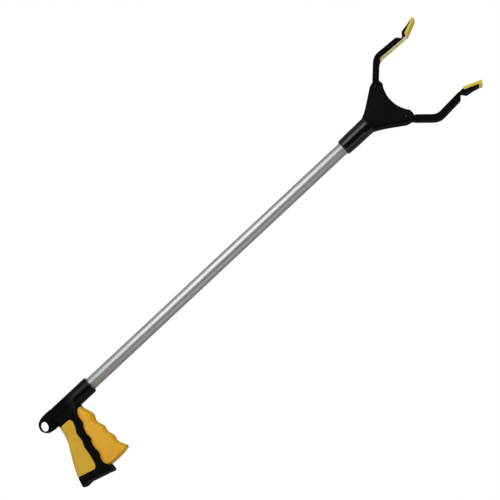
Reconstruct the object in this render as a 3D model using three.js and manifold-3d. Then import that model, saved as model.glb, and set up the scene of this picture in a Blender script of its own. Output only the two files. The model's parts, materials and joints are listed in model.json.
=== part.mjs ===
// Reacher grabber: pistol-grip handle, aluminium tube, and a flared head with two cranked jaws.
// Millimetres. +X runs along the tube to the jaws, +Z is up, and the grip hangs towards -Z.
// Points are written with the tube's axis at z = 0 and the handle barrel's mouth at x = 0.
// The outer group then moves the whole tool so that the middle of the grip's sole is the origin.

import * as THREE from "three";
import { mergeVertices } from "three/addons/utils/BufferGeometryUtils.js";
import Module from "manifold-3d";

const wasm = await Module();
wasm.setup();

const rad = THREE.MathUtils.degToRad;

// ---- Driving dimensions ----

const CLEAR = 0.3; // between pieces that touch
const FIT = 0.15; // around a pin or screw in its hole

// Tube
const TUBE_R = 9.525;
const TUBE_WALL = 1.2;
const TUBE_REAR = -24;
const TUBE_FRONT = 548;

// Handle
const BARREL_R = 12.9;
const BARREL_REAR = -84;
const MOUTH_ROUND = 2;
const LUG_HALF = 3.5;
const LUG_R = 12.5;
const LUG_X = -85.6;
const HANG_R = 7.4;
const HANG_X = -89.9;
const HANG_FLAT_X = -84.2;
const GRIP_HALF = 13.2;
const GRIP_WALL = 4;
const PANEL_THICK = 2;
const SOLE_X = -72;
const SOLE_Z = -111.2;
const SOLE_TILT = rad(17.4);
const SPLIT_Y = 1; // the parting plane stands this far left of the middle, so the sole's middle is solid

// Trigger
const PIVOT = new THREE.Vector2(-38, 5.5);
const SQUEEZE = rad(20);
const TRIGGER_HALF = 9.4;
const TRIGGER_R = 113.4;
const TRIGGER_TOP = -13.8;
const TRIGGER_SKIN = 2.2;
const CHEEK_IN = 3.8;
const CHEEK_OUT = 5.6;
const BOSS_R = 3.4;
const TRIGGER_PIN_R = 1.6;

// Draw bar and rod
const DRAW_DROP = 26; // cross pin below the trigger's pivot
const DRAW_LEAN = rad(7); // how far ahead of the pivot the cross pin stands at rest
const DRAW_HALF = 3.4;
const DRAW_PIN_R = 1.6;
const ROD_R = 1.75;
const DRAW_AHEAD = DRAW_DROP * Math.tan(DRAW_LEAN);
const TRAVEL = DRAW_AHEAD + DRAW_DROP * Math.tan(SQUEEZE - DRAW_LEAN);
const DRAW_PIN = new THREE.Vector2(PIVOT.x + DRAW_AHEAD, PIVOT.y - DRAW_DROP);
const SPRING_REAR = -74.6;
const SPRING_FRONT = -49.4;
const SPRING_R = 4.6;
const WIRE_R = 0.6;
const SPRING_TURNS = 7;

// Head
const NECK_REAR = 502;
const NECK_R = 12.9;
const HEAD_HALF = 10;
const HEAD_CAVITY = 6.1;
const FRONT_ARC_X = 649;
const FRONT_ARC_R = 49.8;
const FRONT_WALL = 2.8;

// Jaws (the upper one; the lower is its mirror image)
const JAW = new THREE.Vector2(597.5, 32.5);
const JAW_SWING = rad(33.6);
const JAW_HALF = 5.8; // inside the head
const ARM_HALF = 8; // outside it
const ARM_WIDENS = 12.6; // this far from the pivot
const JAW_HUB_R = 6.2;
const JAW_PIN_R = 2;
const ARM_OUT = 4.9; // the arm's outer face, from the line through its pivot
const ARM_IN = 3.8;
const CRANK_HALF = 2.1;
const CRANK_R = 3.7;
const CROSS_PIN = new THREE.Vector2(589, 16);
const CROSS_PIN_R = 1.5;
const CROSS_HALF = 5.4;
const FLEX_X = 676;
const TIP_ANGLE = rad(22.8);
const TIP_START = new THREE.Vector2(685, 58.1);
const PAD_HALF = 9.4;
const BACKING_HALF = 8.9;

// ---- Materials ----

function finish(color, roughness, metalness = 0) {
  return new THREE.MeshStandardMaterial({ color, roughness, metalness });
}

const aluminium = finish(0xb9bbbe, 0.35, 1);
const blackPlastic = finish(0x16161a, 0.42);
const gripYellow = finish(0xc8a828, 0.7);
const amber = finish(0xdca01e, 0.45);
const padYellow = finish(0xd9bf46, 0.75);
const steel = finish(0x9a9c9f, 0.3, 1);
const whitePlastic = finish(0xe4e2da, 0.5);

// ---- Shape helpers ----

// A closed geometry as a manifold-3d solid.
function solid(geometry) {
  const bare = geometry.index ? geometry.toNonIndexed() : geometry.clone();
  bare.deleteAttribute("normal");
  bare.deleteAttribute("uv");
  const merged = mergeVertices(bare, 1e-3);
  return new wasm.Manifold(
    new wasm.Mesh({
      numProp: 3,
      vertProperties: merged.attributes.position.array,
      triVerts: new Uint32Array(merged.index.array),
    }),
  );
}

// A manifold-3d solid as a geometry.
function geometryOf(made) {
  const mesh = made.getMesh();
  const geometry = new THREE.BufferGeometry();
  geometry.setAttribute("position", new THREE.BufferAttribute(mesh.vertProperties, 3));
  geometry.setIndex(new THREE.BufferAttribute(mesh.triVerts, 1));
  const flat = geometry.toNonIndexed();
  flat.computeVertexNormals();
  return flat;
}

function union(...solids) {
  return solids.reduce((all, next) => all.add(next));
}

function cut(from, ...tools) {
  return tools.reduce((left, tool) => left.subtract(tool), from);
}

// A Shape drawn in x and z, extruded from y = low to y = high.
function plate(shape, low, high, bevel = 0, curveSegments = 3) {
  const geometry = new THREE.ExtrudeGeometry(shape, {
    depth: high - low - 2 * bevel,
    curveSegments,
    bevelEnabled: bevel > 0,
    bevelThickness: bevel,
    bevelSize: bevel,
    bevelOffset: -bevel,
    bevelSegments: 2,
  });
  geometry.rotateX(Math.PI / 2);
  geometry.translate(0, high - bevel, 0);
  return solid(geometry);
}

function polygon(points) {
  return new THREE.Shape(points.map(([x, z]) => new THREE.Vector2(x, z)));
}

function vectors(points) {
  return points.map(([x, z]) => new THREE.Vector2(x, z));
}

function discPlate(x, z, r, low, high, segments = 20) {
  return solid(
    new THREE.CylinderGeometry(r, r, high - low, segments).translate(x, (low + high) / 2, z),
  );
}

// A stadium shape from a to b.
function capsule(a, b, r, low, high, segments = 6) {
  const heading = Math.atan2(b.y - a.y, b.x - a.x);
  const shape = new THREE.Shape();
  shape.absarc(b.x, b.y, r, heading - Math.PI / 2, heading + Math.PI / 2);
  shape.absarc(a.x, a.y, r, heading + Math.PI / 2, heading + (3 * Math.PI) / 2);
  return plate(shape, low, high, 0, segments);
}

function block(x0, x1, y0, y1, z0, z1) {
  return solid(
    new THREE.BoxGeometry(x1 - x0, y1 - y0, z1 - z0).translate(
      (x0 + x1) / 2,
      (y0 + y1) / 2,
      (z0 + z1) / 2,
    ),
  );
}

// A body turned about the x axis from [x, radius] points, starting and ending at radius 0.
function turned(profile, segments = 28) {
  const points = profile.map(([x, r]) => new THREE.Vector2(r, x));
  const geometry = new THREE.LatheGeometry(points, segments);
  geometry.rotateZ(-Math.PI / 2);
  return solid(geometry);
}

function rodAlongX(x0, x1, r, z = 0, segments = 20) {
  return solid(
    new THREE.CylinderGeometry(r, r, x1 - x0, segments)
      .rotateZ(Math.PI / 2)
      .translate((x0 + x1) / 2, 0, z),
  );
}

function rodAlongY(at, y0, y1, r, segments = 14) {
  return discPlate(at.x, at.y, r, y0, y1, segments);
}

function rodAlongZ(x, z0, z1, r, segments = 12) {
  return solid(
    new THREE.CylinderGeometry(r, r, z1 - z0, segments)
      .rotateX(Math.PI / 2)
      .translate(x, 0, (z0 + z1) / 2),
  );
}

function mirroredUp(made) {
  return made.mirror([0, 0, 1]);
}

const tool = new THREE.Group();
tool.position.set(-SOLE_X, 0, -SOLE_Z);

function addPiece(name, made, material) {
  const mesh = new THREE.Mesh(geometryOf(made), material);
  mesh.name = name;
  tool.add(mesh);
}

// The right and left halves of a body split on the parting plane.
function halves(made) {
  const far = 40;
  return {
    right: made.intersect(block(-200, 800, -far, SPLIT_Y - CLEAR / 2, -200, 200)),
    left: made.intersect(block(-200, 800, SPLIT_Y + CLEAR / 2, far, -200, 200)),
  };
}

// ---- Fasteners ----

const SCREW_R = 1.45;
const SCREW_HEAD_R = 2.6;
const TUBE_SCREW_HEAD_R = 2.2;
const TUBE_SCREW_Z = 4.5; // above the rod
const SCREW_HEAD_DEEP = 1.6;
const SCREW_REACH = 7; // how far the shank goes past the middle into the right shell

function screwAt(name, x, z, top, headR = SCREW_HEAD_R) {
  return { name, at: new THREE.Vector2(x, z), top, headR };
}

const handleScrews = [
  screwAt("handle_screw_front", -8, TUBE_SCREW_Z, 11.1, TUBE_SCREW_HEAD_R),
  screwAt("handle_screw_rear", -79.6, 0, 9.5),
  screwAt("handle_screw_grip", -65.5, -16.6, 9),
  screwAt("handle_screw_heel", -92.5, -101, 9.5),
  screwAt("handle_screw_toe", -60.5, -111.4, 9.5),
];
const headScrews = [
  screwAt("head_screw_neck", 528, TUBE_SCREW_Z, 11.1, TUBE_SCREW_HEAD_R),
  screwAt("head_screw_upper", 560, 11, 9),
  screwAt("head_screw_lower", 560, -11, 9),
  screwAt("head_screw_front", 592, 0, 9),
];
const tubeScrews = [handleScrews[0], headScrews[0]];

// A pan-head screw put in from the left side, its head's top at y = top.
function screw({ at, top, headR }) {
  const head = rodAlongY(at, top - SCREW_HEAD_DEEP, top, headR);
  const recess = rodAlongY(at, top - 1, top + 1, 1.1, 6);
  const shank = rodAlongY(at, -SCREW_REACH, top - SCREW_HEAD_DEEP + 0.3, SCREW_R, 10);
  return cut(union(head, shank), recess);
}

// The room a screw needs: a clearance hole, and a counterbore from its head outwards.
function screwRoom({ at, top, headR }) {
  return union(
    rodAlongY(at, -SCREW_REACH - 0.5, top, SCREW_R + FIT, 10),
    rodAlongY(at, top - SCREW_HEAD_DEEP - CLEAR, top + 20, headR + CLEAR),
  );
}

// ---- Tube and rod guides ----

const tube = cut(
  rodAlongX(TUBE_REAR, TUBE_FRONT, TUBE_R, 0, 28),
  rodAlongX(TUBE_REAR - 1, TUBE_FRONT + 1, TUBE_R - TUBE_WALL, 0, 28),
  ...tubeScrews.map(({ at }) => rodAlongY(at, -20, 20, SCREW_R + FIT, 12)),
);
addPiece("main_tube", tube, aluminium);

function rodGuide(x0, x1) {
  return cut(
    rodAlongX(x0, x1, TUBE_R - TUBE_WALL - CLEAR, 0, 24),
    rodAlongX(x0 - 1, x1 + 1, ROD_R + FIT, 0, 16),
  );
}
addPiece("rod_guide_rear", rodGuide(TUBE_REAR + 1, TUBE_REAR + 10), whitePlastic);
addPiece("rod_guide_front", rodGuide(TUBE_FRONT - 12, TUBE_FRONT - 2), whitePlastic);

// ---- Handle shells ----

const soleAt = (x) => SOLE_Z - Math.tan(SOLE_TILT) * (x - SOLE_X);

// The back of the grip, from the barrel down to the heel.
const gripBack = vectors([
  [-72.6, -12],
  [-72.9, -26],
  [-76.2, -42.6],
  [-84.4, -60.6],
  [-92.8, -80],
  [-97.7, -94.5],
  [-99.4, -104.4],
]);

// The front edge of the grip's side walls, from the toe up to the barrel. It has a hollow for each finger.
const gripFront = vectors([
  [-50.6, -107.5],
  [-54.2, -101],
  [-53.6, -94],
  [-50.2, -86.4],
  [-50.8, -76],
  [-49.6, -68.4],
  [-46.2, -61.6],
  [-47.1, -53],
  [-44.6, -43.4],
  [-40.9, -36.6],
  [-40.6, -28],
  [-38.2, -21],
  [-33.5, -16.4],
  [-28.6, -11.6],
]);

function gripOutline() {
  const shape = new THREE.Shape();
  shape.moveTo(gripBack[0].x, 0);
  shape.lineTo(gripBack[0].x, gripBack[0].y);
  shape.splineThru(gripBack.slice(1));
  soleInto(shape);
  shape.lineTo(gripFront[0].x, gripFront[0].y);
  shape.splineThru(gripFront.slice(1));
  shape.lineTo(-28.6, 0);
  return shape;
}

// The underside, from the heel's corner to the toe's.
function soleInto(shape) {
  shape.quadraticCurveTo(-99.7, -106.2, -98.2, -106.2);
  shape.lineTo(-88, soleAt(-88));
  shape.lineTo(-54.6, soleAt(-54.6));
  shape.quadraticCurveTo(-51.4, -117.6, -50.9, -113.6);
}

// The foot below the soft panels, squarer than the grip above it.
function footOutline() {
  const shape = new THREE.Shape();
  const [top, heel] = gripBack.slice(5);
  shape.moveTo(top.x, top.y);
  shape.lineTo(heel.x, heel.y);
  soleInto(shape);
  shape.lineTo(gripFront[0].x, gripFront[0].y);
  shape.lineTo(-70, -100.8);
  return shape;
}

// The grip's rounded back as a slab that runs on past its front and sole, set in by inset all round.
function roundedBack(inset) {
  const shape = new THREE.Shape();
  shape.moveTo(gripBack[0].x + inset, 20);
  shape.lineTo(gripBack[0].x + inset, gripBack[0].y);
  shape.splineThru(gripBack.slice(1).map((p) => new THREE.Vector2(p.x + inset, p.y)));
  shape.lineTo(-108 + inset, -130);
  shape.lineTo(-10, -130);
  shape.lineTo(-10, 20);
  const half = GRIP_HALF - inset;
  const geometry = new THREE.ExtrudeGeometry(shape, {
    depth: 2 * (half - 7),
    curveSegments: 2,
    bevelThickness: 7,
    bevelSize: 5,
    bevelOffset: -5,
    bevelSegments: 4,
  });
  geometry.rotateX(Math.PI / 2);
  geometry.translate(0, half - 7, 0);
  return solid(geometry);
}

const barrel = turned([
  [BARREL_REAR, 0],
  [BARREL_REAR, 7],
  [BARREL_REAR + 1.5, 10],
  [BARREL_REAR + 5, BARREL_R],
  [-MOUTH_ROUND, BARREL_R],
  [-MOUTH_ROUND * 0.3, BARREL_R - MOUTH_ROUND * 0.3],
  [0, BARREL_R - MOUTH_ROUND],
  [0, 0],
]);

function hangHole() {
  const half = Math.sqrt(HANG_R ** 2 - (HANG_FLAT_X - HANG_X) ** 2);
  const turn = Math.atan2(half, HANG_FLAT_X - HANG_X);
  const shape = new THREE.Shape();
  shape.absarc(HANG_X, 0, HANG_R, turn, 2 * Math.PI - turn);
  return plate(shape, -20, 20, 0, 16);
}

const lug = cut(
  union(
    discPlate(LUG_X, 0, LUG_R, -LUG_HALF, LUG_HALF, 32),
    block(LUG_X, -70, -LUG_HALF, LUG_HALF, -LUG_R, LUG_R),
  ),
  hangHole(),
);

const grip = union(
  plate(gripOutline(), -GRIP_HALF, GRIP_HALF).intersect(roundedBack(0)),
  plate(footOutline(), -GRIP_HALF, GRIP_HALF, 1.2, 2),
);

// Where the trigger swings: wide inside the grip, narrow inside the barrel.
function triggerRoom() {
  const shape = new THREE.Shape();
  const r = TRIGGER_R + CLEAR * 2;
  const top = TRIGGER_TOP + CLEAR;
  const backTop = gripBack[0].x + GRIP_WALL + 10;
  shape.moveTo(backTop, top);
  shape.lineTo(-69, -26);
  shape.splineThru(gripBack.slice(2, 6).map((p) => new THREE.Vector2(p.x + GRIP_WALL, p.y)));
  const from = Math.atan2(-102, -55.5);
  const to = Math.atan2(-112, 30);
  shape.absarc(PIVOT.x, PIVOT.y, r, from, to);
  shape.lineTo(0, -100);
  shape.lineTo(0, top);
  return plate(shape, -TRIGGER_HALF - 0.5, TRIGGER_HALF + 0.5, 0, 8);
}

const barrelRoom = union(
  block(-54, TUBE_REAR + 1, -CHEEK_OUT - 0.35, CHEEK_OUT + 0.35, TRIGGER_TOP - 1, PIVOT.y + BOSS_R + CLEAR),
  rodAlongX(SPRING_REAR - 0.4, -50, SPRING_R + WIRE_R + 1, 0, 24),
  rodAlongX(TUBE_REAR - CLEAR, 5, TUBE_R + CLEAR, 0, 28),
);

// The soft panel's edge on each side of the grip. It runs on past the back, so the panel wraps it.
function panelOutline(grow) {
  const top = -20.4 + grow;
  const shape = new THREE.Shape();
  shape.moveTo(-110, top);
  shape.lineTo(-57, top);
  shape.quadraticCurveTo(-51.2 + grow, top, -51.2 + grow, -27.5);
  shape.splineThru(
    vectors([
      [-53.4 + grow, -35],
      [-57.6 + grow, -44.5],
      [-58 + grow, -56.5],
      [-61 + grow, -66.5],
      [-62 + grow, -80],
      [-64.2 + grow, -93.5],
    ]),
  );
  shape.quadraticCurveTo(-66 + grow, -100.8 - grow, -71.5, -99.6 - grow);
  shape.lineTo(-110, -87.9 - grow);
  return shape;
}

const panelSkin = roundedBack(0).subtract(roundedBack(PANEL_THICK));
const panels = halves(plate(panelOutline(0), -30, 30, 0, 2).intersect(panelSkin));
const panelRecess = plate(panelOutline(CLEAR), -30, 30, 0, 2).subtract(
  roundedBack(PANEL_THICK + CLEAR),
);

const handle = cut(
  union(barrel, lug, grip),
  triggerRoom(),
  barrelRoom,
  panelRecess,
  rodAlongY(PIVOT, -9.9, 9.9, TRIGGER_PIN_R + FIT),
  ...handleScrews.map(screwRoom),
);
const handleShells = halves(handle);
addPiece("handle_shell_right", handleShells.right, blackPlastic);
addPiece("handle_shell_left", handleShells.left, blackPlastic);
addPiece("grip_panel_right", panels.right, gripYellow);
addPiece("grip_panel_left", panels.left, gripYellow);
for (const made of handleScrews) addPiece(made.name, screw(made), steel);

// ---- Trigger ----

// The finger side, from the top down: three hollows with a ridge between each.
const triggerFront = vectors([
  [-28.4, -20.8],
  [-23.5, -34.6],
  [-26.7, -46.2],
  [-22.3, -59.6],
  [-23.7, -67.6],
  [-20.1, -79.8],
  [-21.3, -88.6],
  [-16.9, -98.6],
  [-13.9, -103.4],
]);

// The hidden edge, from the bottom up, just behind the shells' front edge.
const triggerRear = [
  [-55.8, -98],
  [-53, -85],
  [-53, -72],
  [-49.2, -60],
  [-49, -50],
  [-46.4, -42],
  [-43, -35],
  [-42.6, -24],
];

// The roof has two flats: one clears the barrel at rest, the other when squeezed.
function roofAt(x) {
  const reach = PIVOT.y - TRIGGER_TOP;
  const squeezed = ((x - PIVOT.x) * Math.sin(SQUEEZE) - reach) / Math.cos(SQUEEZE) + PIVOT.y;
  return Math.min(TRIGGER_TOP, squeezed);
}

function triggerOutline(skin) {
  const shape = new THREE.Shape();
  const ridge = PIVOT.x + 3.4;
  shape.moveTo(ridge, roofAt(ridge) - skin);
  shape.lineTo(-29.6 - skin, TRIGGER_TOP - skin);
  shape.splineThru(triggerFront.map((p) => new THREE.Vector2(p.x - skin, p.y)));
  const r = TRIGGER_R - skin;
  const start = Math.atan2(-111.4, 20.6 - skin);
  const end = Math.atan2(-112.2, -16.3);
  shape.absarc(PIVOT.x, PIVOT.y, r, start, end, true);
  const back = skin > 0 ? 30 : 0;
  triggerRear.forEach(([x, z]) => shape.lineTo(x - back, z));
  shape.lineTo(-42.4 - back, roofAt(-42.4) - skin);
  return shape;
}

// The neck that reaches up into the barrel, as one of two cheeks.
function cheek(low, high) {
  const neck = polygon([
    [PIVOT.x + BOSS_R, PIVOT.y],
    [-30.6, TRIGGER_TOP + 0.2],
    [-29, -27],
    [-42.2, -27],
    [-41.8, TRIGGER_TOP],
    [PIVOT.x - BOSS_R, PIVOT.y],
  ]);
  return union(plate(neck, low, high), discPlate(PIVOT.x, PIVOT.y, BOSS_R, low, high));
}

// The slot each cheek has for the cross pin, along the line from the pivot.
function drawSlot() {
  const away = DRAW_PIN.clone().sub(PIVOT).normalize();
  const inner = PIVOT.clone().addScaledVector(away, DRAW_DROP - 0.3);
  const outer = PIVOT.clone().addScaledVector(away, DRAW_DROP + 0.8);
  return capsule(inner, outer, DRAW_PIN_R + 0.2, -10, 10);
}

const triggerSkin = cut(
  plate(triggerOutline(0), -TRIGGER_HALF, TRIGGER_HALF, 2.4, 2),
  plate(triggerOutline(TRIGGER_SKIN), -TRIGGER_HALF + TRIGGER_SKIN, TRIGGER_HALF - TRIGGER_SKIN, 0, 2),
  block(-60, -31.4, -CHEEK_IN, CHEEK_IN, -27, 0),
);
const trigger = cut(
  union(triggerSkin, cheek(-CHEEK_OUT, -CHEEK_IN), cheek(CHEEK_IN, CHEEK_OUT)),
  drawSlot(),
  rodAlongY(PIVOT, -20, 20, TRIGGER_PIN_R + FIT),
);
addPiece("trigger", trigger, amber);
addPiece("trigger_pin", rodAlongY(PIVOT, -9.6, 9.6, TRIGGER_PIN_R), steel);

// ---- Draw bar, rod and spring ----

const DRAW_FRONT = -26;
const DRAW_REAR = -47;
const ROD_REAR = -43;
const REAR_PIN_X = -30;
const drawBar = cut(
  union(
    block(DRAW_REAR - 0.5, DRAW_FRONT, -DRAW_HALF, DRAW_HALF, -4, 3.4),
    block(DRAW_PIN.x - 2.1, DRAW_PIN.x + 2.1, -DRAW_HALF, DRAW_HALF, DRAW_PIN.y, -3.5),
    rodAlongY(DRAW_PIN, -DRAW_HALF, DRAW_HALF, 2.9),
    rodAlongX(SPRING_FRONT + 0.2, DRAW_REAR, SPRING_R + WIRE_R),
    rodAlongX(SPRING_FRONT - 4, SPRING_FRONT + 0.5, SPRING_R - WIRE_R - 0.5),
  ),
  rodAlongX(ROD_REAR, DRAW_FRONT + 1, ROD_R + FIT, 0, 16),
  rodAlongY(DRAW_PIN, -20, 20, DRAW_PIN_R + FIT),
  rodAlongZ(REAR_PIN_X, -10, 10, 1 + FIT),
);
addPiece("draw_bar", drawBar, whitePlastic);
addPiece("draw_pin", rodAlongY(DRAW_PIN, -CHEEK_OUT + 0.1, CHEEK_OUT - 0.1, DRAW_PIN_R), steel);

const ROD_FRONT = 581;
const FRONT_PIN_X = 575.5;
const rod = cut(
  rodAlongX(ROD_REAR + 0.3, ROD_FRONT, ROD_R, 0, 16),
  rodAlongZ(REAR_PIN_X, -10, 10, 1 + FIT),
  rodAlongZ(FRONT_PIN_X, -10, 10, 1 + FIT),
);
addPiece("pull_rod", rod, steel);
addPiece("rod_pin_rear", rodAlongZ(REAR_PIN_X, -3.8, 3.2, 1), steel);
addPiece("rod_pin_front", rodAlongZ(FRONT_PIN_X, -5.2, 5.2, 1), steel);

class CoilPath extends THREE.Curve {
  getPoint(t, target = new THREE.Vector3()) {
    const length = SPRING_FRONT - SPRING_REAR - 2 * WIRE_R;
    const turn = 2 * Math.PI * SPRING_TURNS * t;
    const x = SPRING_REAR + WIRE_R + length * t;
    return target.set(x, SPRING_R * Math.sin(turn), SPRING_R * Math.cos(turn));
  }
}
const wire = new THREE.Shape();
wire.absarc(0, 0, WIRE_R, 0, 2 * Math.PI);
const coil = new THREE.ExtrudeGeometry(wire, {
  steps: 10 * SPRING_TURNS,
  curveSegments: 3,
  extrudePath: new CoilPath(),
});
addPiece("return_spring", solid(coil), steel);

// ---- Head shells ----

const CORNER = [602, 40.7];

function headOutline() {
  const front = (z) => FRONT_ARC_X - Math.sqrt(FRONT_ARC_R ** 2 - z * z);
  const reach = 29;
  const turn = Math.asin(reach / FRONT_ARC_R);
  const shape = new THREE.Shape();
  shape.moveTo(540, 10.5);
  shape.lineTo(549, 10.8);
  shape.quadraticCurveTo(556, 13.2, 570, 22.8);
  shape.lineTo(588, 35.8);
  shape.quadraticCurveTo(593, 40.2, ...CORNER);
  shape.quadraticCurveTo(609.2, 39.6, 608.2, 32.4);
  shape.lineTo(front(reach), reach);
  shape.absarc(FRONT_ARC_X, 0, FRONT_ARC_R, Math.PI - turn, Math.PI + turn);
  shape.lineTo(608.2, -32.4);
  shape.quadraticCurveTo(609.2, -39.6, CORNER[0], -CORNER[1]);
  shape.quadraticCurveTo(593, -40.2, 588, -35.8);
  shape.lineTo(570, -22.8);
  shape.quadraticCurveTo(556, -13.2, 549, -10.8);
  shape.lineTo(540, -10.5);
  return shape;
}

const neck = turned([
  [NECK_REAR, 0],
  [NECK_REAR, TUBE_R + 1.2],
  [NECK_REAR + 1.5, TUBE_R + 2.2],
  [NECK_REAR + 20, NECK_R - 0.1],
  [552, NECK_R],
  [558, HEAD_HALF],
  [558, 0],
]);

// A pivot's own room: the hub's circle, and the wedge the arm sweeps from open to closed.
function armRoom() {
  const open = Math.PI / 4 + rad(1.5);
  const closed = Math.PI / 4 - JAW_SWING - rad(1.5);
  const outer = ARM_OUT + CLEAR;
  const inner = -ARM_IN - CLEAR;
  const reach = 40;
  const corner = (angle, across, along) =>
    new THREE.Vector2(
      JAW.x + Math.cos(angle) * along - Math.sin(angle) * across,
      JAW.y + Math.sin(angle) * along + Math.cos(angle) * across,
    );
  const wedge = new THREE.Shape([
    corner(open, outer, 0),
    corner(closed, inner, 0),
    corner(closed, inner, reach),
    corner(open, outer, reach),
  ]);
  return union(
    plate(wedge, -HEAD_CAVITY, HEAD_CAVITY),
    discPlate(JAW.x, JAW.y, JAW_HUB_R + 0.4, -HEAD_CAVITY, HEAD_CAVITY, 24),
  );
}

function headRoom() {
  const r = FRONT_ARC_R + FRONT_WALL;
  const reach = 27;
  const turn = Math.asin(reach / r);
  const side = vectors([
    [590, 34.6],
    [586, 31.4],
    [574, 22.8],
    [565, 6.5],
    [555, 6.5],
  ]);
  const shape = new THREE.Shape();
  shape.absarc(FRONT_ARC_X, 0, r, Math.PI + turn, Math.PI - turn, true);
  side.forEach((p) => shape.lineTo(p.x, p.y));
  side.reverse().forEach((p) => shape.lineTo(p.x, -p.y));
  return plate(shape, -HEAD_CAVITY, HEAD_CAVITY, 0, 10);
}

const frontBoss = rodAlongY(headScrews[3].at, -HEAD_CAVITY - 1, HEAD_CAVITY + 1, 3);
const upperRoom = armRoom();
const head = cut(
  union(neck, plate(headOutline(), -HEAD_HALF, HEAD_HALF, 2.2, 6)),
  union(headRoom(), upperRoom, mirroredUp(upperRoom)).subtract(frontBoss),
  rodAlongX(NECK_REAR - 5, TUBE_FRONT + CLEAR, TUBE_R + CLEAR, 0, 28),
  rodAlongX(TUBE_FRONT - 1, 558, 4, 0, 16),
  rodAlongY(JAW, -20, 20, JAW_PIN_R + FIT),
  rodAlongY(new THREE.Vector2(JAW.x, -JAW.y), -20, 20, JAW_PIN_R + FIT),
  ...headScrews.map(screwRoom),
);
const headShells = halves(head);
addPiece("head_shell_right", headShells.right, blackPlastic);
addPiece("head_shell_left", headShells.left, blackPlastic);
for (const made of headScrews) addPiece(made.name, screw(made), steel);

// ---- Crosshead ----

const HUB_REAR = 570;
const HUB_FRONT = 584.6;
function crossArm(low, high) {
  const root = new THREE.Vector2(579, 4.6);
  return capsule(root, CROSS_PIN, 3.5, low, high);
}
const crossArms = union(
  crossArm(-CROSS_HALF, -CRANK_HALF - 0.4),
  crossArm(CRANK_HALF + 0.4, CROSS_HALF),
);
const crosshead = cut(
  union(
    block(HUB_REAR, HUB_FRONT, -CROSS_HALF, CROSS_HALF, -CROSS_HALF, CROSS_HALF),
    crossArms,
    mirroredUp(crossArms),
  ),
  rodAlongX(HUB_REAR - 1, ROD_FRONT + CLEAR, ROD_R + FIT, 0, 16),
  rodAlongZ(FRONT_PIN_X, -20, 20, 1 + FIT),
  rodAlongY(CROSS_PIN, -20, 20, CROSS_PIN_R + FIT),
  rodAlongY(new THREE.Vector2(CROSS_PIN.x, -CROSS_PIN.y), -20, 20, CROSS_PIN_R + FIT),
);
addPiece("crosshead", crosshead, whitePlastic);

// ---- Jaws ----

// Where the crosshead's pin stands in the upper jaw's own frame, t = 0 open to t = 1 closed.
// The slot cut along this path turns the crosshead's straight stroke into an even swing.
function camPoint(t) {
  const swing = JAW_SWING * t;
  const x = CROSS_PIN.x - TRAVEL * t - JAW.x;
  const z = CROSS_PIN.y - JAW.y;
  return new THREE.Vector2(
    JAW.x + x * Math.cos(swing) - z * Math.sin(swing),
    JAW.y + x * Math.sin(swing) + z * Math.cos(swing),
  );
}

function camTrack(r, low, high, from, to, steps) {
  const parts = [];
  for (let i = 0; i < steps; i += 1) {
    const a = camPoint(from + ((to - from) * i) / steps);
    const b = camPoint(from + ((to - from) * (i + 1)) / steps);
    parts.push(capsule(a, b, r, low, high));
  }
  return union(...parts);
}

// The arm's inner face runs gently back towards the tube's line.
const innerFaceAt = (x) => 60 + (x - 637) * -0.05;

function armOutline() {
  const inner = ARM_IN * Math.SQRT2;
  const outer = ARM_OUT * Math.SQRT2;
  const offset = JAW.x - JAW.y;
  const shape = new THREE.Shape();
  shape.moveTo(JAW.x + inner / 2, JAW.y - inner / 2);
  shape.lineTo(offset + inner + 55, 55);
  shape.quadraticCurveTo(offset + inner + 60.2, 60.2, 637, innerFaceAt(637));
  shape.lineTo(FLEX_X - CLEAR, innerFaceAt(FLEX_X));
  shape.lineTo(FLEX_X - CLEAR, 60.5);
  shape.lineTo(672, 65.6);
  shape.quadraticCurveTo(671, 67.1, 668.5, 67.3);
  shape.lineTo(636, 69.3);
  shape.quadraticCurveTo(offset - outer + 69.5, 69.5, offset - outer + 61.5, 61.5);
  shape.lineTo(JAW.x - outer / 2, JAW.y + outer / 2);
  return shape;
}

const LINER_START = 632;
const LINER_DEEP = 1.5;
const LINER_HALF = 7;

function linerBar(grow) {
  const end = FLEX_X - 1 + grow * 4;
  const bar = polygon([
    [LINER_START - grow, innerFaceAt(LINER_START) - 3 * grow],
    [end, innerFaceAt(end) - 3 * grow],
    [end, innerFaceAt(end) + LINER_DEEP + grow],
    [LINER_START - grow, innerFaceAt(LINER_START) + LINER_DEEP + grow],
  ]);
  return plate(bar, -LINER_HALF - grow, LINER_HALF + grow);
}

const upperArm = cut(
  union(
    plate(armOutline(), -JAW_HALF, JAW_HALF, 0, 4),
    plate(armOutline(), -ARM_HALF, ARM_HALF, 0, 4).subtract(
      discPlate(JAW.x, JAW.y, ARM_WIDENS, -20, 20, 32),
    ),
    discPlate(JAW.x, JAW.y, JAW_HUB_R, -JAW_HALF, JAW_HALF, 24),
    capsule(JAW, camPoint(0.35), CRANK_R, -CRANK_HALF, CRANK_HALF),
    camTrack(CRANK_R, -CRANK_HALF, CRANK_HALF, 0, 1, 4),
  ),
  camTrack(CROSS_PIN_R + 0.2, -10, 10, -0.06, 1.06, 6),
  rodAlongY(JAW, -20, 20, JAW_PIN_R + FIT),
  linerBar(CLEAR),
);

// Points in the tip's own frame: along its gripping face, and away from it.
const along = new THREE.Vector2(Math.cos(TIP_ANGLE), Math.sin(TIP_ANGLE));
const away = new THREE.Vector2(-Math.sin(TIP_ANGLE), Math.cos(TIP_ANGLE));
const tipPoint = (u, n) => TIP_START.clone().addScaledVector(along, u).addScaledVector(away, n);

// The pad's tongue lies under the flexing neck and reaches back to the arm's liner.
const TONGUE_Z = 58;
const TONGUE_DEEP = 1;

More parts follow.
